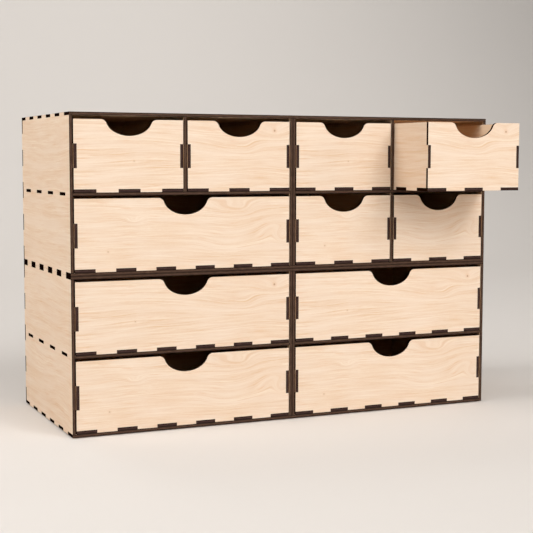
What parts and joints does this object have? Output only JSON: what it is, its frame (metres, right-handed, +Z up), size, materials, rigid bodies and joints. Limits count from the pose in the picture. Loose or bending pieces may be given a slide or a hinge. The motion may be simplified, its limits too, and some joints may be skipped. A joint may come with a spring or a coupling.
{
  "type": "craft stamp storage drawers",
  "caption": "Desktop cabinet of laser-cut plywood boxes with finger joints, holding narrow and wide slide-out drawers with scooped finger pulls.",
  "frame": {"origin": "centre of the cabinet's footprint, on the surface it stands on (the open drawer isn't counted)", "axes": "+X to the right along the width, +Y to the rear, +Z up; the drawer fronts face -Y"},
  "size_m": [0.448, 0.252, 0.3],
  "materials": {
    "plywood_carcass": "bare sanded light veneer, cut edges burnt dark brown",
    "plywood_drawer": "bare sanded light veneer, cut edges burnt dark brown"
  },
  "bodies": {
    "cabinet": {"upper_left_top": "plywood_carcass", "upper_left_bottom": "plywood_carcass", "upper_left_left_side": "plywood_carcass", "upper_left_right_side": "plywood_carcass", "upper_left_back": "plywood_carcass", "upper_left_shelf": "plywood_carcass", "upper_left_divider": "plywood_carcass", "upper_right_top": "plywood_carcass", "upper_right_bottom": "plywood_carcass", "upper_right_left_side": "plywood_carcass", "upper_right_right_side": "plywood_carcass", "upper_right_back": "plywood_carcass", "upper_right_shelf": "plywood_carcass", "upper_right_divider": "plywood_carcass", "lower_left_top": "plywood_carcass", "lower_left_bottom": "plywood_carcass", "lower_left_left_side": "plywood_carcass", "lower_left_right_side": "plywood_carcass", "lower_left_back": "plywood_carcass", "lower_left_shelf": "plywood_carcass", "lower_right_top": "plywood_carcass", "lower_right_bottom": "plywood_carcass", "lower_right_left_side": "plywood_carcass", "lower_right_right_side": "plywood_carcass", "lower_right_back": "plywood_carcass", "lower_right_shelf": "plywood_carcass"},
    "drawer_1a": {"drawer_1a_front": "plywood_drawer", "drawer_1a_bottom": "plywood_drawer", "drawer_1a_walls": "plywood_drawer"},
    "drawer_1b": {"drawer_1b_front": "plywood_drawer", "drawer_1b_bottom": "plywood_drawer", "drawer_1b_walls": "plywood_drawer"},
    "drawer_1c": {"drawer_1c_front": "plywood_drawer", "drawer_1c_bottom": "plywood_drawer", "drawer_1c_walls": "plywood_drawer"},
    "drawer_1d": {"drawer_1d_front": "plywood_drawer", "drawer_1d_bottom": "plywood_drawer", "drawer_1d_walls": "plywood_drawer"},
    "drawer_2a": {"drawer_2a_front": "plywood_drawer", "drawer_2a_bottom": "plywood_drawer", "drawer_2a_walls": "plywood_drawer"},
    "drawer_2b": {"drawer_2b_front": "plywood_drawer", "drawer_2b_bottom": "plywood_drawer", "drawer_2b_walls": "plywood_drawer"},
    "drawer_2c": {"drawer_2c_front": "plywood_drawer", "drawer_2c_bottom": "plywood_drawer", "drawer_2c_walls": "plywood_drawer"},
    "drawer_3a": {"drawer_3a_front": "plywood_drawer", "drawer_3a_bottom": "plywood_drawer", "drawer_3a_walls": "plywood_drawer"},
    "drawer_3b": {"drawer_3b_front": "plywood_drawer", "drawer_3b_bottom": "plywood_drawer", "drawer_3b_walls": "plywood_drawer"},
    "drawer_4a": {"drawer_4a_front": "plywood_drawer", "drawer_4a_bottom": "plywood_drawer", "drawer_4a_walls": "plywood_drawer"},
    "drawer_4b": {"drawer_4b_front": "plywood_drawer", "drawer_4b_bottom": "plywood_drawer", "drawer_4b_walls": "plywood_drawer"}
  },
  "joints": [
    {"name": "drawer_1a_slide", "type": "slide", "parent": "cabinet", "child": "drawer_1a", "axis": [0, -1, 0], "range_m": [0, 0.183]},
    {"name": "drawer_1b_slide", "type": "slide", "parent": "cabinet", "child": "drawer_1b", "axis": [0, -1, 0], "range_m": [0, 0.183]},
    {"name": "drawer_1c_slide", "type": "slide", "parent": "cabinet", "child": "drawer_1c", "axis": [0, -1, 0], "range_m": [0, 0.183]},
    {"name": "drawer_1d_slide", "type": "slide", "parent": "cabinet", "child": "drawer_1d", "axis": [0, -1, 0], "range_m": [-0.065, 0.118]},
    {"name": "drawer_2a_slide", "type": "slide", "parent": "cabinet", "child": "drawer_2a", "axis": [0, -1, 0], "range_m": [0, 0.183]},
    {"name": "drawer_2b_slide", "type": "slide", "parent": "cabinet", "child": "drawer_2b", "axis": [0, -1, 0], "range_m": [0, 0.183]},
    {"name": "drawer_2c_slide", "type": "slide", "parent": "cabinet", "child": "drawer_2c", "axis": [0, -1, 0], "range_m": [0, 0.183]},
    {"name": "drawer_3a_slide", "type": "slide", "parent": "cabinet", "child": "drawer_3a", "axis": [0, -1, 0], "range_m": [0, 0.183]},
    {"name": "drawer_3b_slide", "type": "slide", "parent": "cabinet", "child": "drawer_3b", "axis": [0, -1, 0], "range_m": [0, 0.183]},
    {"name": "drawer_4a_slide", "type": "slide", "parent": "cabinet", "child": "drawer_4a", "axis": [0, -1, 0], "range_m": [0, 0.183]},
    {"name": "drawer_4b_slide", "type": "slide", "parent": "cabinet", "child": "drawer_4b", "axis": [0, -1, 0], "range_m": [0, 0.183]}
  ]
}
